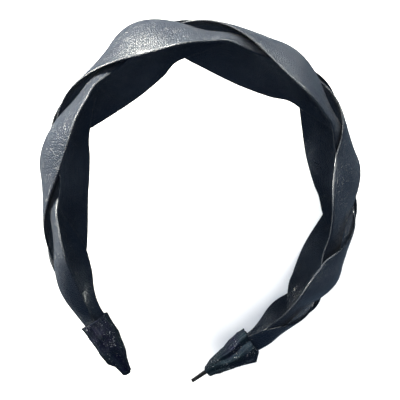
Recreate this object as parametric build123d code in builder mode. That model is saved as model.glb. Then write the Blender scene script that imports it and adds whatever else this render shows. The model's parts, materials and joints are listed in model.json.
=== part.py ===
from build123d import *
import os
from math import cos, floor, hypot, pi, radians, sin

# All sizes are in millimetres. The headband lies on its side: the arch is in the XY plane with its top
# towards +Y, and +Z is the direction of the band's width.

# Corners that the arch's mid line rounds off, from the left end over the top to the right end
# across, up
ARCH = [
    (-31.0, -74.5),
    (-45.0, -52.0),
    (-57.5, -34.0),
    (-62.0, -6.0),
    (-61.5, 31.5),
    (-41.0, 55.5),
    (-16.5, 72.5),
    (17.0, 70.0),
    (48.5, 52.5),
    (62.5, 21.5),
    (61.5, -16.5),
    (44.5, -45.5),
    (24.0, -60.0),
    (-2.0, -78.0),
]
# Moves the corners so that the outline is centred on the origin
ARCH_OFFSET = (0.201, 0.206)
CORNER_STEPS = 24
AIM_LENGTH = 4.0

# The plait's bumps on the upper side, in order from the left end
# distance along the mid line, extra shift away from the head, extra roll in degrees
UPPER_BUMPS = [
    (53.0, 1.5, -9.0),
    (113.0, 0.5, -6.0),
    (176.0, 0.0, -3.0),
    (241.0, 0.5, -6.0),
    (295.0, -1.5, 5.0),
    (338.0, -0.5, 0.0),
]
# The bumps on the lower side, one after each upper bump
# extra shift, extra roll
LOWER_BUMPS = [
    (-1.0, -12.0),
    (-0.5, -6.0),
    (0.0, -6.0),
    (0.5, -3.0),
    (0.0, -3.0),
    (-1.0, -11.0),
]
BUMP_BEFORE_START = -19.0
BUMP_AFTER_END = 377.0
BUMP_LENGTH = 3.0

# One strip's way through a turn of the plait, a row for each sixth of it, from the upper bump on
# away from the head, roll in degrees
WAY = [
    (-2.5, 33.0),
    (-1.5, 19.0),
    (0.5, -17.0),
    (-4.0, -27.0),
    (-3.0, -28.0),
    (1.5, 11.0),
]
CREST_ROLL = -12.5
STRIP_WIDTH = 22.5
STRIP_THICKNESS = 1.0
STRIP_BOW = 2.4
BUMP_FLATNESS = 1.2
REACH = 15.6
REACH_SHARPNESS = 0.14
BAND_LEAN = 0.0

# The strips are gathered at both ends, where the sleeves hold them
PLAIT_START = 24.0
PLAIT_END = 374.0
GATHER_START = 27.0
GATHER_END = 370.0
GATHER_LENGTH = 34.0
GATHERED_WIDTH = 0.165
GATHERED_HEIGHT = 0.5
GATHERED_SHIFT = 1.1
GATHERED_THICKNESS = 0.4
SECTIONS = 80

# Height of the mid line above the surface that the headband lies on
MID_HEIGHT = 28.136

# The cloth sleeves: rows run from the mouth to the narrow end
CLOTH = 1.2
SLEEVE_SIDES = 12
BOXINESS = 0.65
LEFT_MOUTH = 27.0
RIGHT_MOUTH = 371.0
# along, shift away from the head, half height, half width, turn
LEFT_SLEEVE = [
    (0.0, 0.0, 6.9, 9.0, 0.0),
    (8.0, 0.0, 6.7, 8.7, 2.0),
    (14.0, 0.2, 5.9, 7.4, -3.0),
    (20.0, 0.4, 4.8, 5.8, 4.0),
    (22.0, 0.0, 3.8, 5.2, 0.0),
    (26.5, 0.0, 2.6, 4.2, 0.0),
]
RIGHT_SLEEVE = [
    (0.0, -0.6, 6.4, 8.8, 0.0),
    (3.4, 0.4, 7.6, 8.9, 2.0),
    (11.5, 0.0, 5.6, 7.0, -3.0),
    (19.0, -0.8, 4.0, 5.4, 4.0),
    (23.4, -0.9, 2.3, 4.6, 0.0),
]
CREASES = [1.0, 0.97, 1.03, 0.97, 1.02, 0.97, 1.0, 0.97, 1.03, 0.98, 1.02, 0.97]

# The ends of the band in the sleeves
# along, shift away from the head, half height, half width
LEFT_TIP = [
    (19.0, 0.0, 1.3, 1.8),
    (25.0, 0.0, 1.3, 1.8),
    (27.2, 0.0, 1.2, 1.8),
]
RIGHT_TIP = [
    (18.0, -0.8, 0.8, 2.0),
    (23.0, -0.9, 0.8, 1.8),
    (31.0, -1.0, 0.7, 1.2),
]


def arch_line():
    """Points along the mid line, each with its distance from the left end."""
    rows = [(0.0, ARCH[0][0], ARCH[0][1])]
    last = len(ARCH) - 2
    for i in range(1, last + 1):
        before, corner, after = ARCH[i - 1], ARCH[i], ARCH[i + 1]
        first = before
        if i > 1:
            first = ((before[0] + corner[0]) / 2, (before[1] + corner[1]) / 2)
        final = after
        if i < last:
            final = ((after[0] + corner[0]) / 2, (after[1] + corner[1]) / 2)
        for k in range(1, CORNER_STEPS + 1):
            t = k / CORNER_STEPS
            x = (1 - t) ** 2 * first[0] + 2 * t * (1 - t) * corner[0] + t * t * final[0]
            y = (1 - t) ** 2 * first[1] + 2 * t * (1 - t) * corner[1] + t * t * final[1]
            step = hypot(x - rows[-1][1], y - rows[-1][2])
            rows.append((rows[-1][0] + step, x, y))
    return rows


LINE = arch_line()
ARCH_LENGTH = LINE[-1][0]


def arch_point(station):
    station = min(max(station, 0.0), ARCH_LENGTH)
    for before, after in zip(LINE[:-1], LINE[1:]):
        if station <= after[0]:
            t = (station - before[0]) / (after[0] - before[0])
            return before[1] + t * (after[1] - before[1]), before[2] + t * (after[2] - before[2])
    return LINE[-1][1], LINE[-1][2]


def cross_plane(station):
    """Plane across the band: its x axis points away from the head, its y axis up."""
    x, y = arch_point(station)
    ax, ay = arch_point(station - AIM_LENGTH)
    bx, by = arch_point(station + AIM_LENGTH)
    beyond = max(station - ARCH_LENGTH, 0.0) + min(station, 0.0)
    length = hypot(bx - ax, by - ay)
    along = ((bx - ax) / length, (by - ay) / length)
    x += along[0] * beyond + ARCH_OFFSET[0]
    y += along[1] * beyond + ARCH_OFFSET[1]
    origin = (x, y, MID_HEIGHT)
    return Plane(origin=origin, x_dir=(-along[1], along[0], 0), z_dir=(along[0], along[1], 0))


def bumps_passed(station):
    """How many upper bumps of the plait lie before this station, as a smooth count."""
    knots = [BUMP_BEFORE_START] + [bump[0] for bump in UPPER_BUMPS] + [BUMP_AFTER_END]
    last = len(knots) - 1
    rates = []
    for i in range(last + 1):
        low, high = max(i - 1, 0), min(i + 1, last)
        rates.append((high - low) / (knots[high] - knots[low]))
    if station >= knots[last]:
        return last - 1 + (station - knots[last]) * rates[last]
    i = max(k for k in range(last) if knots[k] <= station)
    span = knots[i + 1] - knots[i]
    t = (station - knots[i]) / span
    rise = t * t * (3 - 2 * t)
    bend = span * rates[i] * t * (1 - t) ** 2 - span * rates[i + 1] * t * t * (1 - t)
    return i - 1 + rise + bend


def ease(t):
    t = min(max(t, 0.0), 1.0)
    return t * t * (3 - 2 * t)


def way_at(turn):
    """How far away from the head a strip lies, and its roll, at this angle of its turn."""
    place = 3 * turn / pi
    row = floor(place)
    t = place - row
    values = []
    for a, b, c, d in zip(*(WAY[(row + k) % 6] for k in (-1, 0, 1, 2))):
        values.append(b + t * (c - a + t * (2 * a - 5 * b + 4 * c - d + t * (3 * b - a - 3 * c + d))) / 2)
    return values


def on_bump(turn):
    """1 in the middle of a bump, falling to 0 half a turn away."""
    return ((1 + cos(turn)) / 2) ** BUMP_LENGTH


def strip_section(strip, station):
    """Lower edge, crown and upper edge of a strip's mid surface in its cross plane, and its thickness."""
    passed = bumps_passed(station) - strip
    turn = 2 * pi * passed / 3
    spread = min(ease((station - GATHER_START) / GATHER_LENGTH), ease((GATHER_END - station) / GATHER_LENGTH))
    width_scale = GATHERED_WIDTH + (1 - GATHERED_WIDTH) * spread
    height_scale = GATHERED_HEIGHT + (1 - GATHERED_HEIGHT) * spread
    thickness = GATHERED_THICKNESS + (STRIP_THICKNESS - GATHERED_THICKNESS) * spread
    out, roll = way_at(turn)
    last = len(UPPER_BUMPS) - 1
    upper = UPPER_BUMPS[min(max(strip + 3 * round(passed / 3), 0), last)]
    lower = LOWER_BUMPS[min(max(strip + 3 * floor(passed / 3) + 1, 0), last)]
    out += upper[1] * on_bump(turn) + lower[0] * on_bump(turn + pi)
    roll += upper[2] * on_bump(turn) + lower[1] * on_bump(turn + pi)
    roll = radians(roll + CREST_ROLL * sin(3 * turn))
    up = REACH * (cos(turn) + REACH_SHARPNESS * cos(3 * turn))
    bow = STRIP_BOW - BUMP_FLATNESS * cos(2 * turn)
    half_up = STRIP_WIDTH / 2 * cos(roll)
    half_out = -STRIP_WIDTH / 2 * sin(roll)
    crown = (out + bow * cos(roll), up + bow * sin(roll))
    lean = radians(BAND_LEAN)
    points = []
    for a, b in ((out - half_out, up - half_up), crown, (out + half_out, up + half_up)):
        a, b = a * height_scale + GATHERED_SHIFT * (1 - spread), b * width_scale
        points.append((a * cos(lean) + b * sin(lean), b * cos(lean) - a * sin(lean)))
    return points, thickness


def beside(p, q, distance, share):
    """Point on the line from p to q, set off to the right of it."""
    length = hypot(q[0] - p[0], q[1] - p[1])
    x = p[0] + share * (q[0] - p[0]) + distance * (q[1] - p[1]) / length
    y = p[1] + share * (q[1] - p[1]) - distance * (q[0] - p[0]) / length
    return x, y


def strip_outline(strip, station):
    """Eight points round a strip's section: outer arc, rounded upper edge, inner arc, rounded lower edge."""
    (low, crown, high), thickness = strip_section(strip, station)
    half = thickness / 2
    away = (crown[0] - (low[0] + high[0]) / 2, crown[1] - (low[1] + high[1]) / 2)
    size = hypot(away[0], away[1])
    normal = (away[0] / size, away[1] / size)
    outer_low, inner_low = beside(low, crown, half, 0), beside(low, crown, -half, 0)
    outer_high, inner_high = beside(high, crown, -half, 0), beside(high, crown, half, 0)
    outer_crown = (crown[0] + normal[0] * half, crown[1] + normal[1] * half)
    inner_crown = (crown[0] - normal[0] * half, crown[1] - normal[1] * half)
    edge_high = beside(high, crown, 0, -half / hypot(crown[0] - high[0], crown[1] - high[1]))
    edge_low = beside(low, crown, 0, -half / hypot(crown[0] - low[0], crown[1] - low[1]))
    return outer_low, outer_crown, outer_high, edge_high, inner_high, inner_crown, inner_low, edge_low


def boxy(share):
    """Push a round section's point out towards the corner of a box."""
    size = abs(share) ** BOXINESS
    return size if share > 0 else -size


def sleeve_points(row, thinner):
    """Corners of a creased sleeve's section."""
    along, shift, half_height, half_width, turn = row
    corners = []
    for k in range(SLEEVE_SIDES):
        angle = 2 * pi * k / SLEEVE_SIDES + radians(turn)
        crease = CREASES[k]
        x = shift + (half_height - thinner) * crease * boxy(cos(angle))
        y = (half_width - thinner) * crease * boxy(sin(angle))
        corners.append((x, y))
    return corners


def strip_stations():
    return [PLAIT_START + (PLAIT_END - PLAIT_START) * k / (SECTIONS - 1) for k in range(SECTIONS)]


# Strip that makes the first bump on the upper side
with BuildPart() as strip_a:
    for station in strip_stations():
        with BuildSketch(cross_plane(station)):
            p = strip_outline(0, station)
            with BuildLine():
                ThreePointArc(p[0], p[1], p[2])
                ThreePointArc(p[2], p[3], p[4])
                ThreePointArc(p[4], p[5], p[6])
                ThreePointArc(p[6], p[7], p[0])
            make_face()
    loft(ruled=True)
strip_a.part.label = "strip_a"

# Strip that makes the second bump
with BuildPart() as strip_b:
    for station in strip_stations():
        with BuildSketch(cross_plane(station)):
            p = strip_outline(1, station)
            with BuildLine():
                ThreePointArc(p[0], p[1], p[2])
                ThreePointArc(p[2], p[3], p[4])
                ThreePointArc(p[4], p[5], p[6])
                ThreePointArc(p[6], p[7], p[0])
            make_face()
    loft(ruled=True)
strip_b.part.label = "strip_b"

# Strip that makes the third bump
with BuildPart() as strip_c:
    for station in strip_stations():
        with BuildSketch(cross_plane(station)):
            p = strip_outline(2, station)
            with BuildLine():
                ThreePointArc(p[0], p[1], p[2])
                ThreePointArc(p[2], p[3], p[4])
                ThreePointArc(p[4], p[5], p[6])
                ThreePointArc(p[6], p[7], p[0])
            make_face()
    loft(ruled=True)
strip_c.part.label = "strip_c"

# Cloth sleeve round the gathered strips at the left end
with BuildPart() as left_end_wrap:
    for row in LEFT_SLEEVE:
        with BuildSketch(cross_plane(LEFT_MOUTH - row[0])):
            Polygon(*sleeve_points(row, 0.0), align=None)
    loft(ruled=True)
    for row in LEFT_SLEEVE:
        with BuildSketch(cross_plane(LEFT_MOUTH - row[0])):
            Polygon(*sleeve_points(row, CLOTH), align=None)
    loft(ruled=True, mode=Mode.SUBTRACT)
left_end_wrap.part.label = "left_end_wrap"

# Cloth sleeve at the right end, wider on the side away from the head
with BuildPart() as right_end_wrap:
    for row in RIGHT_SLEEVE:
        with BuildSketch(cross_plane(RIGHT_MOUTH + row[0])):
            Polygon(*sleeve_points(row, 0.0), align=None)
    loft(ruled=True)
    for row in RIGHT_SLEEVE:
        with BuildSketch(cross_plane(RIGHT_MOUTH + row[0])):
            Polygon(*sleeve_points(row, CLOTH), align=None)
    loft(ruled=True, mode=Mode.SUBTRACT)
right_end_wrap.part.label = "right_end_wrap"

# Narrow end of the band at the left
with BuildPart() as left_band_tip:
    for along, shift, half_height, half_width in LEFT_TIP:
        with BuildSketch(cross_plane(LEFT_MOUTH - along)):
            with Locations((shift, 0)):
                RectangleRounded(2 * half_height, 2 * half_width, 0.6)
    loft(ruled=True)
left_band_tip.part.label = "left_band_tip"

# Thin flat end of the band at the right
with BuildPart() as right_band_tip:
    for along, shift, half_height, half_width in RIGHT_TIP:
        with BuildSketch(cross_plane(RIGHT_MOUTH + along)):
            with Locations((shift, 0)):
                RectangleRounded(2 * half_height, 2 * half_width, 0.5)
    loft(ruled=True)
right_band_tip.part.label = "right_band_tip"

os.makedirs("parts", exist_ok=True)
export_step(strip_a.part, "parts/strip_a.step")
export_step(strip_b.part, "parts/strip_b.step")
export_step(strip_c.part, "parts/strip_c.step")
export_step(left_end_wrap.part, "parts/left_end_wrap.step")
export_step(right_end_wrap.part, "parts/right_end_wrap.step")
export_step(left_band_tip.part, "parts/left_band_tip.step")
export_step(right_band_tip.part, "parts/right_band_tip.step")
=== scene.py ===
import json
import math
import bmesh
import bpy
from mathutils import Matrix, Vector, noise

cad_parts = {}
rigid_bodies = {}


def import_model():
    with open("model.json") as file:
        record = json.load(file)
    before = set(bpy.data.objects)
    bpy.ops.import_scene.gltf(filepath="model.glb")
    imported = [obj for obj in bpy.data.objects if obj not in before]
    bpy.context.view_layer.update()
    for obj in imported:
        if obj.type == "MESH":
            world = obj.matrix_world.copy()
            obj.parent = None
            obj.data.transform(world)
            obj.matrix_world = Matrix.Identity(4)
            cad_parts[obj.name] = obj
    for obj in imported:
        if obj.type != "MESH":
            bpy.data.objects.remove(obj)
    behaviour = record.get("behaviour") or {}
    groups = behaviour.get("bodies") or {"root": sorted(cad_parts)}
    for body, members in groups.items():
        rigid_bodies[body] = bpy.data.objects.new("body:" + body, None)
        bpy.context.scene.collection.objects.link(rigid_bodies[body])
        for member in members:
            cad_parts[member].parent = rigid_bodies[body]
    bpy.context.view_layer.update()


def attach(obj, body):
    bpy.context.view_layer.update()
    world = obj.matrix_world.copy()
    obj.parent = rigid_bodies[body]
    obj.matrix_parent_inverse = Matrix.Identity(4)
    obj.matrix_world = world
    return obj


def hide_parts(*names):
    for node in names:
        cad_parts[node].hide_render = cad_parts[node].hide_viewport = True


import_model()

mm = 0.001  # the camera and the pieces are given in millimetres, the studio and the finishes in metres
archOrigin = (0.201, 0.206, 28.136)  # the origin of the arch's corners, which is the middle of the picture


view = {
    "distance": 380.0,  # from the camera to the plane of the arch's mid line
    "pictureWidth": 172.0,  # what the picture holds across in that plane
    "sensor": 36.0,
    "nearest": 20.0,
    "farthest": 20000.0,
}


def setCamera():
    data = bpy.data.cameras.new("camera")
    data.sensor_width = view["sensor"]
    data.lens = view["sensor"] * view["distance"] / view["pictureWidth"]
    data.clip_start = view["nearest"] * mm
    data.clip_end = view["farthest"] * mm
    camera = bpy.data.objects.new("camera", data)
    x, y, z = archOrigin
    camera.location = (x * mm, y * mm, (z + view["distance"]) * mm)
    bpy.context.collection.objects.link(camera)
    bpy.context.scene.camera = camera


studio = {
    "floorSize": 4.0,
    "world": (0.37, 0.62, 1.0, 1.0),
    "worldStrength": 0.19,
    # name, place, aimed at, size, watts, colour, whether it makes highlights
    "lamps": [
        ("softAbove", (0.0, 0.0, 1.6), (0.0, 0.0, 0.0), (1.2, 1.2), 34.0, (1.0, 1.0, 1.0), False),
        ("keyTop", (-0.30, 0.78, 0.22), (-0.02, 0.04, 0.03), (0.34, 0.10), 36.0, (1.0, 0.96, 0.86), True),
        ("sideLeft", (-0.70, 0.58, 0.17), (-0.05, 0.03, 0.03), (0.26, 0.10), 56.0, (1.0, 0.96, 0.86), True),
        ("sideRight", (0.50, 0.66, 0.20), (0.04, 0.04, 0.03), (0.20, 0.09), 9.0, (0.96, 1.0, 0.94), True),
    ],
}


def setLamps():
    for name, place, aim, size, watts, colour, highlights in studio["lamps"]:
        data = bpy.data.lights.new(name, "AREA")
        data.shape = "RECTANGLE"
        data.size, data.size_y = size
        data.energy = watts
        data.color = colour
        lamp = bpy.data.objects.new(name, data)
        lamp.location = place
        lamp.visible_camera = False
        lamp.visible_glossy = highlights
        lamp.rotation_mode = "QUATERNION"
        lamp.rotation_quaternion = (Vector(aim) - Vector(place)).to_track_quat("-Z", "Y")
        bpy.context.collection.objects.link(lamp)
    world = bpy.data.worlds.new("studio")
    world.use_nodes = True
    background = world.node_tree.nodes["Background"]
    background.inputs["Color"].default_value = studio["world"]
    background.inputs["Strength"].default_value = studio["worldStrength"]
    bpy.context.scene.world = world
    bpy.context.scene.view_settings.view_transform = "Standard"


class Signal:  # a socket's value, so that shader maths reads as plain sums
    def __init__(self, finish, socket):
        self.finish, self.socket = finish, socket

    def math(self, operation, other, swapped=False):
        first, second = (other, self) if swapped else (self, other)
        return self.finish.node("ShaderNodeMath", {"operation": operation}, {0: first, 1: second})

    def __add__(self, other):
        return self.math("ADD", other)

    def __radd__(self, other):
        return self.math("ADD", other, True)

    def __sub__(self, other):
        return self.math("SUBTRACT", other)

    def __rsub__(self, other):
        return self.math("SUBTRACT", other, True)

    def __mul__(self, other):
        return self.math("MULTIPLY", other)

    def __rmul__(self, other):
        return self.math("MULTIPLY", other, True)


class Finish:  # a material and the ways to add nodes to it
    def __init__(self, name):
        self.material = bpy.data.materials.new(name)
        self.material.use_nodes = True
        self.tree = self.material.node_tree
        self.shader = self.tree.nodes["Principled BSDF"]
        self.place = self.node("ShaderNodeTexCoord", {}, {}, "Object")

    def feed(self, socket, value):
        if isinstance(value, Signal):
            self.tree.links.new(value.socket, socket)
        else:
            socket.default_value = value

    def node(self, kind, settings, values, output=0):
        made = self.tree.nodes.new(kind)
        for name, value in settings.items():
            setattr(made, name, value)
        for name, value in values.items():
            self.feed(made.inputs[name], value)
        return Signal(self, made.outputs[output])

    def noise(self, scale, detail, roughness):
        values = {"Vector": self.place, "Scale": scale, "Detail": detail, "Roughness": roughness}
        return self.node("ShaderNodeTexNoise", {}, values, "Fac")

    def within(self, signal, low, high, start=0.0, end=1.0):
        values = {"Value": signal, "From Min": low, "From Max": high, "To Min": start, "To Max": end}
        return self.node("ShaderNodeMapRange", {"interpolation_type": "SMOOTHSTEP"}, values, "Result")

    def mix(self, amount, first, second):  # sockets 6 and 7 and output 2 are the colours' own
        return self.node("ShaderNodeMix", {"data_type": "RGBA"}, {0: amount, 6: first, 7: second}, 2)

    def bump(self, height, strength, distance, under=None):
        values = {"Height": height, "Strength": strength, "Distance": distance}
        if under:
            values["Normal"] = under
        return self.node("ShaderNodeBump", {}, values)

    def set(self, values):
        for name, value in values.items():
            self.feed(self.shader.inputs[name], value)
        return self.material


# In the finishes a noise is its scale, detail and roughness, and a bump its strength and depth. A range is
# where the rise from 0 to 1 begins and ends, and where it runs between other values, they come after that.
leather = {
    "pebbles": {"Scale": 1000.0, "Randomness": 0.9},
    "grooveRange": (0.0, 0.20),
    "pores": (2600.0, 2.0, 0.6),
    "blotches": (80.0, 3.0, 0.55),
    "dyeRange": (0.35, 0.68),
    "dyes": [(0.0048, 0.0080, 0.0150, 1.0), (0.0075, 0.0118, 0.0195, 1.0)],
    "edgeRange": (0.0, 0.10, 1.0, 0.0),  # as shares of the way from the folded edge to the middle
    # painted shade: a dark band along the folded edge, broken up by noise, stands in for the shadow in the
    # fold
    "edgeShadeNoise": (320.0, 3.0, 0.6),
    "edgeShadeNoiseRange": (0.35, 0.7, 0.25, 0.8),
    "paintedEdgeShade": (0.0050, 0.0070, 0.0100, 1.0),
    # the grooves between the pebbles are drawn darker
    "grooveDarkColour": (0.0025, 0.0045, 0.0110, 1.0),
    "grooveShare": 0.35,
    "roughness": {"least": 0.25, "blotches": 0.08, "grooves": 0.14, "edge": 0.20},
    "dents": (75.0, 2.0, 0.5),
    "dentBump": (0.5, 0.0012),
    "waves": (420.0, 2.0, 0.5),
    "waveBump": (0.35, 0.00012),
    "grain": {"pebbles": 0.8, "pores": 0.5},
    "grainBump": (1.0, 0.00028),
    "shader": {"Specular IOR Level": 0.34, "Specular Tint": (0.97, 1.0, 1.0, 1.0), "Coat Weight": 0.20,
               "Coat Roughness": 0.14, "Sheen Weight": 0.03, "Sheen Roughness": 0.30},
}


def stripLeather():
    finish = Finish("stripLeather")
    uv = finish.node("ShaderNodeUVMap", {"uv_map": "strip"}, {})
    fromEdge = finish.node("ShaderNodeSeparateXYZ", {}, {0: uv})  # 0 at the folded edge, 1 at the middle
    cells = finish.node("ShaderNodeTexVoronoi", {"feature": "DISTANCE_TO_EDGE"},
                        {"Vector": finish.place, **leather["pebbles"]}, "Distance")
    pebbles = finish.within(cells, *leather["grooveRange"])
    grooves = 1.0 - pebbles
    pores = finish.noise(*leather["pores"])
    blotches = finish.noise(*leather["blotches"])
    edgeShadeNoise = finish.within(finish.noise(*leather["edgeShadeNoise"]), *leather["edgeShadeNoiseRange"])
    edge = finish.within(fromEdge, *leather["edgeRange"])
    dye = finish.mix(finish.within(blotches, *leather["dyeRange"]), *leather["dyes"])
    # painted shade: the colour near the folded edge is mixed darker, for the shadow in the fold
    withEdgeShade = finish.mix(edge * edgeShadeNoise, dye, leather["paintedEdgeShade"])
    # darker in the grooves between the pebbles
    colour = finish.mix(grooves * leather["grooveShare"], withEdgeShade, leather["grooveDarkColour"])
    rough = leather["roughness"]
    shine = rough["least"] + rough["blotches"] * blotches + rough["grooves"] * grooves + rough["edge"] * edge
    dents = finish.bump(finish.noise(*leather["dents"]), *leather["dentBump"])
    waves = finish.bump(finish.noise(*leather["waves"]), *leather["waveBump"], under=dents)
    grain = pebbles * leather["grain"]["pebbles"] + pores * leather["grain"]["pores"]
    normal = finish.bump(grain, *leather["grainBump"], under=waves)
    return finish.set({"Base Color": colour, "Roughness": shine, "Normal": normal, **leather["shader"]})


cloth = {
    "threads": {"X": 26.0, "Y": 15.0},
    "threadWaves": {"Distortion": 3.0, "Detail": 2.0, "Detail Scale": 2.0},
    "lint": (1500.0, 3.0, 0.75),
    "lintRange": (0.58, 0.66),
    "patches": (230.0, 3.0, 0.6),
    "patchRange": (0.48, 0.60),
    "wear": (420.0, 4.0, 0.7),
    "wearRange": (0.35, 0.7),
    "cast": (95.0, 2.0, 0.5),
    "castRange": (0.40, 0.62),
    "castDyes": [(0.0035, 0.0040, 0.0150, 1.0), (0.0040, 0.0100, 0.0150, 1.0)],
    "wornDye": (0.0060, 0.0100, 0.0150, 1.0),
    "threadDye": (0.015, 0.024, 0.032, 1.0),
    "threadShare": 0.15,
    "lintColour": (0.42, 0.44, 0.46, 1.0),
    "lintShare": {"least": 0.10, "patches": 0.80},
    "roughness": {"least": 0.46, "wear": 0.30},
    "relief": {"weave": 0.6, "lint": 0.5, "wear": 1.6},
    "reliefBump": (1.0, 0.00060),
    "shader": {"Specular IOR Level": 0.06},
}


def wrapCloth():
    finish = Finish("wrapCloth")
    uv = finish.node("ShaderNodeUVMap", {"uv_map": "wrap"}, {})
    threads = []
    for direction, scale in cloth["threads"].items():
        threads.append(finish.node("ShaderNodeTexWave", {"wave_type": "BANDS", "bands_direction": direction},
                                   {"Vector": uv, "Scale": scale, **cloth["threadWaves"]}, "Fac"))
    weave = threads[0] * threads[1]
    lint = finish.within(finish.noise(*cloth["lint"]), *cloth["lintRange"])
    patches = finish.within(finish.noise(*cloth["patches"]), *cloth["patchRange"])
    wear = finish.noise(*cloth["wear"])
    cast = finish.within(finish.noise(*cloth["cast"]), *cloth["castRange"])
    tint = finish.mix(cast, *cloth["castDyes"])
    worn = finish.mix(finish.within(wear, *cloth["wearRange"]), tint, cloth["wornDye"])
    woven = finish.mix(weave * cloth["threadShare"], worn, cloth["threadDye"])
    share = cloth["lintShare"]
    colour = finish.mix(lint * (share["least"] + share["patches"] * patches), woven, cloth["lintColour"])
    roughness = cloth["roughness"]["least"] + cloth["roughness"]["wear"] * wear
    relief = cloth["relief"]
    height = weave * relief["weave"] + lint * relief["lint"] + wear * relief["wear"]
    normal = finish.bump(height, *cloth["reliefBump"])
    return finish.set({"Base Color": colour, "Roughness": roughness, "Normal": normal, **cloth["shader"]})


plastic = {
    "scuffs": (700.0, 4.0, 0.7),
    "scuffRange": (0.45, 0.75),
    "colours": [(0.004, 0.004, 0.005, 1.0), (0.012, 0.012, 0.013, 1.0)],
    "roughness": {"least": 0.55, "scuffs": 0.25},
    "scuffBump": (0.3, 0.00008),
    "shader": {"Specular IOR Level": 0.12},
}


def bandPlastic():
    finish = Finish("bandPlastic")
    scuffs = finish.noise(*plastic["scuffs"])
    colour = finish.mix(finish.within(scuffs, *plastic["scuffRange"]), *plastic["colours"])
    roughness = plastic["roughness"]["least"] + plastic["roughness"]["scuffs"] * scuffs
    normal = finish.bump(scuffs, *plastic["scuffBump"])
    return finish.set({"Base Color": colour, "Roughness": roughness, "Normal": normal, **plastic["shader"]})


floorPaint = {
    "clouds": (9.0, 3.0, 0.5),
    "colours": [(0.96, 0.96, 0.96, 1.0), (0.98, 0.98, 0.98, 1.0)],
    "shader": {"Roughness": 0.85, "Specular IOR Level": 0.2},
}


def paleFloor():
    finish = Finish("paleFloor")
    colour = finish.mix(finish.noise(*floorPaint["clouds"]), *floorPaint["colours"])
    return finish.set({"Base Color": colour, **floorPaint["shader"]})


arch = {
    # across, up: corners that the mid line rounds off, from the left foot over the crown to the right foot
    "corners": [
        (-31.0, -74.5), (-45.0, -52.0), (-57.5, -34.0), (-62.0, -6.0), (-61.5, 31.5), (-41.0, 55.5),
        (-16.5, 72.5), (17.0, 70.0), (48.5, 52.5), (62.5, 21.5), (61.5, -16.5), (44.5, -45.5),
        (24.0, -60.0), (-2.0, -78.0),
    ],
    "steps": 24,  # points for each corner
    "aim": 4.0,  # how far on both sides the mid line's direction looks
}


def archLine():  # station and place of each point; a station is a length along the mid line
    corners = [Vector(c) for c in arch["corners"]]
    rows = [(0.0, corners[0])]
    last = len(corners) - 2
    for i in range(1, last + 1):
        before, corner, after = corners[i - 1:i + 2]
        first = before if i == 1 else (before + corner) / 2
        final = after if i == last else (after + corner) / 2
        for k in range(1, arch["steps"] + 1):
            t = k / arch["steps"]
            point = (1 - t) ** 2 * first + 2 * t * (1 - t) * corner + t * t * final
            rows.append((rows[-1][0] + (point - rows[-1][1]).length, point))
    return rows


line = archLine()
archLength = line[-1][0]


def archPoint(station):
    station = min(max(station, 0.0), archLength)
    for before, after in zip(line[:-1], line[1:]):
        if station <= after[0]:
            return before[1].lerp(after[1], (station - before[0]) / (after[0] - before[0]))
    return line[-1][1]


def crossFrame(station):  # the mid line's point and the direction away from the head there
    along = (archPoint(station + arch["aim"]) - archPoint(station - arch["aim"])).normalized()
    beyond = max(station - archLength, 0.0) + min(station, 0.0)
    x, y = archPoint(station) + along * beyond + Vector(archOrigin[:2])
    return Vector((x, y, archOrigin[2])), Vector((-along.y, along.x, 0))


def ease(t):
    t = min(max(t, 0.0), 1.0)
    return t * t * (3 - 2 * t)


def blend(first, second, share):
    return first + (second - first) * share


plait = {
    # station, extra shift away from the head, extra roll of the bumps on the near side
    "upper": [(53.0, 1.5, -9.0), (113.0, 0.5, -6.0), (176.0, 0.0, -3.0), (241.0, 0.5, -6.0),
              (295.0, -1.5, 5.0), (338.0, -0.5, 0.0)],
    # extra shift, extra roll of the far side bump after each of them
    "lower": [(-1.0, -12.0), (-0.5, -6.0), (0.0, -6.0), (0.5, -3.0), (0.0, -3.0), (-1.0, -11.0)],
    "before": -19.0, "after": 377.0,  # stations of the bumps that would come before and after them
    "bumpPower": 3.0,  # the higher, the quicker a bump's extras fade
    "strips": 3,
    # distance away from the head, roll of a strip for each sixth of its turn, from the near side bump on
    "way": [(-2.5, 33.0), (-1.5, 19.0), (0.5, -17.0), (-4.0, -27.0), (-3.0, -28.0), (1.5, 11.0)],
    "crestRoll": -12.5,  # roll that comes and goes three times in a turn
    "width": 22.5, "thickness": 1.0,
    "bow": 2.4, "flatness": 1.2,  # how far the middle bows out, and how much less on the bumps
    "reach": 15.6, "sharpness": 0.14,  # swing to the near and the far side, and how pointed it is
    # stations of the strips' ends and of the gathering at both feet, and how long that is
    "start": 24.0, "end": 374.0, "gatherStart": 27.0, "gatherEnd": 370.0, "gatherLength": 34.0,
    # at the gathered ends: the share that is left up and down, the share that is left away from the head,
    # the shift away from the head and the thickness
    "gatheredWidth": 0.15, "gatheredHeight": 0.54, "gatheredShift": 1.35, "gatheredThickness": 0.4,
    # edges that are pulled straight: edge, its turn where it is free, half the free stretch, strength
    "pulls": [("low", math.pi, math.radians(72), 1.0), ("high", 0.0, math.radians(52), 0.6)],
    "pullFade": 0.4,  # share of half the stretch in which a pull sets in
    # flares of the low edge: strip, station, half the length, push away from the head (below 0 towards it)
    "flares": [(2, 164.0, 30.0, 3.0), (2, 58.0, 30.0, -3.0)],
    # soft unevenness of the faces: height, how fast it changes along, aslant and across, seed
    "creases": [(0.16, 0.035, 0.0, 0.10, 0.0), (0.09, 0.11, 0.05, 0.07, 5.0)],
    "nextSeed": 11.0,  # from one strip to the next
    "rings": 320, "smoothing": 1,  # faces along a strip, and its subdivision levels
}


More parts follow.
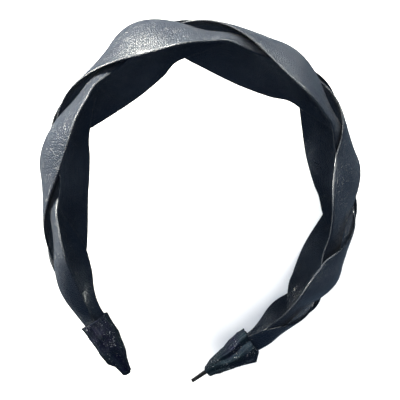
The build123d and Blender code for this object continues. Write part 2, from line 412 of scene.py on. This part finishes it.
# A strip's section, from the folded edge to its middle:
# distance from the edge, rise of the outer face, rise of the inner face, as shares of half the thickness
foldedEdge = [
    (0.00, 0.00, 0.00), (0.06, 0.42, 0.42), (0.20, 0.74, 0.74), (0.42, 0.94, 0.94), (0.75, 1.00, 1.00),
    (1.50, 0.99, 1.00), (2.40, 0.96, 0.98), (2.90, 0.93, 0.86), (3.40, 0.90, 0.76), (5.20, 0.92, 0.78),
    (7.60, 0.97, 0.84), (10.50, 1.00, 0.88),
]


def bumpsPassed(station):  # a smooth count of the bumps up to this station
    knots = [plait["before"]] + [bump[0] for bump in plait["upper"]] + [plait["after"]]
    last = len(knots) - 1
    rates = []
    for i in range(last + 1):
        low, high = max(i - 1, 0), min(i + 1, last)
        rates.append((high - low) / (knots[high] - knots[low]))
    if station >= knots[last]:
        return last - 1 + (station - knots[last]) * rates[last]
    i = max(k for k in range(last) if knots[k] <= station)
    span = knots[i + 1] - knots[i]
    t = (station - knots[i]) / span
    return i - 1 + ease(t) + span * t * (1 - t) * (rates[i] * (1 - t) - rates[i + 1] * t)


def wayAt(turn):  # a strip's distance away from the head and its roll, at this angle of its turn
    way = plait["way"]
    place = len(way) * turn / (2 * math.pi)
    row = math.floor(place)
    t = place - row
    values = []
    for a, b, c, d in zip(*(way[(row + k) % len(way)] for k in (-1, 0, 1, 2))):
        values.append(b + t * (c - a + t * (2 * a - 5 * b + 4 * c - d + t * (3 * b - a - 3 * c + d))) / 2)
    return values


def onBump(turn):
    return ((1 + math.cos(turn)) / 2) ** plait["bumpPower"]


def bumpExtras(strip, passed, turn):  # shift and roll that the bumps on the near and the far side add
    last = len(plait["upper"]) - 1
    strips = plait["strips"]
    upper = plait["upper"][min(max(strip + strips * round(passed / strips), 0), last)]
    lower = plait["lower"][min(max(strip + strips * math.floor(passed / strips) + 1, 0), last)]
    near, far = onBump(turn), onBump(turn + math.pi)
    return [first * near + second * far for first, second in zip(upper[1:], lower)]


def stripSection(strip, station):  # two edges and the crown between them, as away from the head and up
    passed = bumpsPassed(station) - strip
    turn = 2 * math.pi * passed / plait["strips"]
    spread = min(ease((station - plait["gatherStart"]) / plait["gatherLength"]),
                 ease((plait["gatherEnd"] - station) / plait["gatherLength"]))
    widthScale = blend(plait["gatheredWidth"], 1.0, spread)
    heightScale = blend(plait["gatheredHeight"], 1.0, spread)
    thickness = blend(plait["gatheredThickness"], plait["thickness"], spread)
    out, roll = (way + extra for way, extra in zip(wayAt(turn), bumpExtras(strip, passed, turn)))
    roll = math.radians(roll + plait["crestRoll"] * math.sin(3 * turn))
    swing = math.cos(turn) + plait["sharpness"] * math.cos(3 * turn)
    middle = Vector((out, plait["reach"] * swing))
    half = Vector((-math.sin(roll), math.cos(roll))) * plait["width"] / 2
    bow = Vector((math.cos(roll), math.sin(roll))) * (plait["bow"] - plait["flatness"] * math.cos(2 * turn))
    points = []
    for point in (middle - half, middle + bow, middle + half):
        x = point.x * heightScale + plait["gatheredShift"] * (1 - spread)
        points.append(Vector((x, point.y * widthScale)))
    low, crown, high = points
    origin, away = crossFrame(station)
    return {"low": low, "crown": crown, "high": high, "thickness": thickness, "spread": spread, "turn": turn,
            "station": station, "origin": origin, "away": away}


def pushEdge(section, edge, shift):  # away from the head, the crown half as far
    section[edge].x += shift
    section["crown"].x += shift / 2


def edgePlace(section, edge):
    return section["origin"] + section["away"] * section[edge].x


def pullStraight(run, edge, half, strength):
    if len(run) < 3:  # nothing, or a scrap at the plait's end that is too short to pull
        return
    first, final = edgePlace(run[0][0], edge), edgePlace(run[-1][0], edge)
    aim = (final - first).normalized()
    side = Vector((-aim.y, aim.x, 0))
    for section, off in run:
        share = strength * section["spread"] * ease((half - abs(off)) / (plait["pullFade"] * half))
        shift = share * (first - edgePlace(section, edge)).dot(side) / section["away"].dot(side)
        pushEdge(section, edge, shift)


def pullEdges(sections):
    for edge, middle, half, strength in plait["pulls"]:
        run = []
        for section in sections:
            off = (section["turn"] - middle + math.pi) % (2 * math.pi) - math.pi
            if abs(off) < half:
                run.append((section, off))
            else:
                pullStraight(run, edge, half, strength)
                run = []
        pullStraight(run, edge, half, strength)


def stripSections(strip):
    sections = []
    for k in range(plait["rings"] + 1):
        station = plait["start"] + (plait["end"] - plait["start"]) * k / plait["rings"]
        sections.append(stripSection(strip, station))
    pullEdges(sections)
    for flared, middle, half, push in plait["flares"]:
        if flared == strip:
            for section in sections:
                pushEdge(section, "low", push * ease(1 - abs(section["station"] - middle) / half))
    return sections


def stripRing():  # side of the strip, distance from its nearer edge and rise of the face, all the way round
    outer = [(distance, rise) for distance, rise, under in foldedEdge]
    inner = [(distance, -under) for distance, rise, under in foldedEdge]
    stretches = ((-1, outer), (1, reversed(outer[:-1])), (1, inner[1:]), (-1, reversed(inner[1:-1])))
    ring = []
    for side, stretch in stretches:
        for distance, rise in stretch:
            ring.append((side, distance, rise))
    return ring


def creases(strip, station, across):  # how uneven a strip's face is at this place
    rise = 0.0
    for height, along, aslant, over, seed in plait["creases"]:
        place = Vector((station * along + across * aslant, across * over, seed + plait["nextSeed"] * strip))
        rise += height * noise.noise(place)
    return rise


def stripPoint(strip, section, side, distance, rise):
    low, crown, high = section["low"], section["crown"], section["high"]
    middle = (low + high) / 2
    half = (high - low) / 2
    width = plait["width"] / 2
    share = side * (1 - distance / width)  # -1 at the lower edge, 1 at the upper one
    point = middle + half * share + (crown - middle) * (1 - share * share)
    slope = (half - 2 * share * (crown - middle)).normalized()
    outwards = Vector((slope.y, -slope.x))
    uneven = section["spread"] * creases(strip, section["station"], share * width)
    point += outwards * (rise * section["thickness"] / 2 + uneven)
    return (section["origin"] + section["away"] * point.x + Vector((0, 0, point.y))) * mm


weld = 0.002  # points nearer to each other than this become one


def bentGrid(uvName, around, along, placeFor):  # placeFor says a grid point's place and its UV
    bm = bmesh.new()
    uvLayer = bm.loops.layers.uv.new(uvName)
    bmesh.ops.create_grid(bm, x_segments=around, y_segments=along, size=0.5)  # from -0.5 to 0.5 both ways
    uvOf = {}
    for vert in bm.verts:
        vert.co, uvOf[vert] = placeFor(vert.co.x + 0.5, vert.co.y + 0.5)
    for face in bm.faces:
        for loop in face.loops:
            loop[uvLayer].uv = uvOf[loop.vert]
    bmesh.ops.remove_doubles(bm, verts=bm.verts, dist=weld * mm)
    return bm


finishes = {}


def finishPiece(bm, name, finish, recalculate=True):
    if recalculate:
        bmesh.ops.recalc_face_normals(bm, faces=bm.faces)
    mesh = bpy.data.meshes.new(name)
    bm.to_mesh(mesh)
    bm.free()
    for polygon in mesh.polygons:
        polygon.use_smooth = True
    mesh.materials.append(finishes[finish])
    piece = bpy.data.objects.new(name, mesh)
    bpy.context.collection.objects.link(piece)
    return piece


def makeStrip(name, strip):
    ring = stripRing()
    sections = stripSections(strip)

    def placeFor(around, share):
        side, distance, rise = ring[round(around * len(ring)) % len(ring)]
        place = stripPoint(strip, sections[round(share * plait["rings"])], side, distance, rise)
        return place, (distance / (plait["width"] / 2), share)

    bm = bentGrid("strip", len(ring), plait["rings"], placeFor)
    bmesh.ops.holes_fill(bm, edges=[edge for edge in bm.edges if edge.is_boundary])
    piece = finishPiece(bm, name, "stripLeather")
    smoother = piece.modifiers.new("smooth", "SUBSURF")
    smoother.levels = smoother.render_levels = plait["smoothing"]
    return piece


wraps = {
    "around": 168, "along": 110,  # faces round a wrap and along it
    "boxiness": 0.65,  # 1 is round
    "cloth": 0.5,
    # how far the cloth stands out, as a share, for each of twelve ways round
    "creases": [1.0, 0.97, 1.03, 0.97, 1.02, 0.97, 1.0, 0.97, 1.03, 0.98, 1.02, 0.97],
    # crumples: facets with sharp creases between them, in three sizes; size, height
    "crumples": [(8.0, 1.7), (3.8, 0.9), (1.7, 0.35)],
    "crumpleStretch": 0.55,  # 1 is as long as wide, less is longer
    "crumpleMiddle": 0.45,  # the share of the size at which the cloth neither rises nor sinks
    "sink": 0.75,  # all of it goes in by this much
    # folds that run lengthwise have a hollow on both sides, and fade towards the narrow end
    "fold": {"power": 1.4, "fade": 0.5, "hollow": 0.6, "hollowPlace": 1.5, "hollowSpan": 0.7},
    # how ragged both ends are: three soft waves and finer ones, in the mouth and less at the narrow end
    "fray": {"waves": 3, "wave": 0.35, "fineness": 2.2, "fine": 0.5, "power": 10, "narrowEnd": 0.6},
    # mouth is the station of the wide end, way says if the wrap runs along the mid line or against it, and
    # flat is the cut cloth in metres. Rows are distance from the mouth, shift away from the head, half
    # height, half width and turn in degrees. Folds are way round, drift of it, height and half width.
    "left": {
        "mouth": 27.0, "way": -1, "flat": (0.043, 0.0265), "seed": 3.1,
        "rows": [(0.0, 0.0, 6.9, 9.0, 0.0), (8.0, 0.0, 6.7, 8.7, 2.0), (14.0, 0.2, 6.0, 7.4, -3.0),
                 (19.0, 0.6, 5.2, 6.0, 4.0), (21.4, 0.0, 3.7, 5.2, 0.0), (26.5, -0.2, 2.6, 4.2, 0.0)],
        "folds": [(1.75, 0.35, 0.85, 0.22), (1.20, 0.10, 0.55, 0.16), (2.30, -0.20, 0.50, 0.18),
                  (4.6, 0.3, 0.7, 0.3)],
    },
    "right": {
        "mouth": 371.0, "way": 1, "flat": (0.042, 0.0235), "seed": 8.7,
        "rows": [(0.0, -0.6, 6.4, 8.8, 0.0), (3.4, 0.4, 7.6, 8.9, 2.0), (11.5, 0.0, 5.6, 7.0, -3.0),
                 (19.0, -0.8, 4.0, 5.4, 4.0), (23.4, -0.9, 2.3, 4.6, 0.0)],
        "folds": [(1.50, 0.15, 0.90, 0.20), (1.05, 0.20, 0.55, 0.15), (2.10, -0.25, 0.60, 0.16),
                  (4.4, 0.2, 0.7, 0.3)],
    },
}


def rowAt(rows, distance):
    for before, after in zip(rows[:-1], rows[1:]):
        if distance <= after[0]:
            share = (distance - before[0]) / (after[0] - before[0])
            return [blend(first, second, share) for first, second in zip(before[1:], after[1:])]
    return list(rows[-1][1:])


def boxy(value):  # of a sine or cosine, for a round that is squarer than a circle
    return math.copysign(abs(value) ** wraps["boxiness"], value)


def creaseAt(angle):
    shares = wraps["creases"]
    sector = angle / (2 * math.pi) * len(shares)
    low = int(sector) % len(shares)
    share = ease(sector - int(sector))
    return shares[low] * (1 - share) + shares[(low + 1) % len(shares)] * share


def wrapPoint(wrap, distance, angle):
    shift, halfHeight, halfWidth, turn = rowAt(wrap["rows"], distance)
    length = wrap["rows"][-1][0]
    turned = angle + math.radians(turn)
    x = halfHeight * creaseAt(angle) * boxy(math.cos(turned))
    y = halfWidth * creaseAt(angle) * boxy(math.sin(turned))
    rise = -wraps["sink"]
    for size, height in wraps["crumples"]:
        place = Vector((wraps["crumpleStretch"] * distance + wrap["seed"], x, y)) / size
        nearest = noise.voronoi(place)[0]
        rise += height * (nearest[0] - wraps["crumpleMiddle"])
    fold = wraps["fold"]
    for at, drift, height, span in wrap["folds"]:
        off = abs(angle - at - drift * distance / length) / span
        hollow = fold["hollow"] * max(1 - abs(off - fold["hollowPlace"]) / fold["hollowSpan"], 0.0)
        ridge = max(1 - off, 0.0) ** fold["power"]
        rise += height * (ridge - hollow) * (1 - fold["fade"] * distance / length)
    out = Vector((x, y)).normalized() * rise
    origin, away = crossFrame(wrap["mouth"] + wrap["way"] * distance)
    return (origin + away * (x + shift + out.x) + Vector((0, 0, y + out.y))) * mm


def frayAt(wrap, angle):
    fray = wraps["fray"]
    place = Vector((fray["fineness"] * math.cos(angle), fray["fineness"] * math.sin(angle), wrap["seed"]))
    return fray["wave"] * math.sin(fray["waves"] * angle + wrap["seed"]) + fray["fine"] * noise.noise(place)


def makeWrap(name, wrap):
    length = wrap["rows"][-1][0]
    power, narrowEnd = wraps["fray"]["power"], wraps["fray"]["narrowEnd"]

    def placeFor(around, share):
        angle = 2 * math.pi * (around % 1.0)
        fray = frayAt(wrap, angle)
        distance = share * length + fray * (1 - share) ** power + narrowEnd * fray * share ** power
        return wrapPoint(wrap, min(max(distance, 0.0), length), angle), (around, share)

    piece = finishPiece(bentGrid("wrap", wraps["around"], wraps["along"], placeFor), name, "wrapCloth")
    wall = piece.modifiers.new("cloth", "SOLIDIFY")
    wall.thickness = wraps["cloth"] * mm
    wall.offset = -1.0
    return piece


setCamera()
setLamps()
print("camera and lamps are set")

for makeFinish in (stripLeather, wrapCloth, bandPlastic, paleFloor):
    finishes[makeFinish.__name__] = makeFinish()
print("finishes are mixed")

for number, node in enumerate(("strip_a", "strip_b", "strip_c")):
    piece = makeStrip("leather_" + node, number)
    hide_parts(node)
    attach(piece, "root")
print("strips are plaited")

for side in ("left", "right"):
    piece = makeWrap(side + "_cloth_wrap", wraps[side])
    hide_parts(side + "_end_wrap")
    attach(piece, "root")
print("ends are wrapped")

for node, finish in (("left_band_tip", "wrapCloth"), ("right_band_tip", "bandPlastic")):
    tip = bpy.data.objects[node]
    tip.data.materials.clear()
    tip.data.materials.append(finishes[finish])
print("band tips are dressed")

bm = bmesh.new()
bmesh.ops.create_grid(bm, x_segments=1, y_segments=1, size=studio["floorSize"] / 2)
floor = finishPiece(bm, "floor", "paleFloor", recalculate=False)
floor.visible_glossy = False  # the leather mirrors the dim room, as in the photo
print("floor is laid")
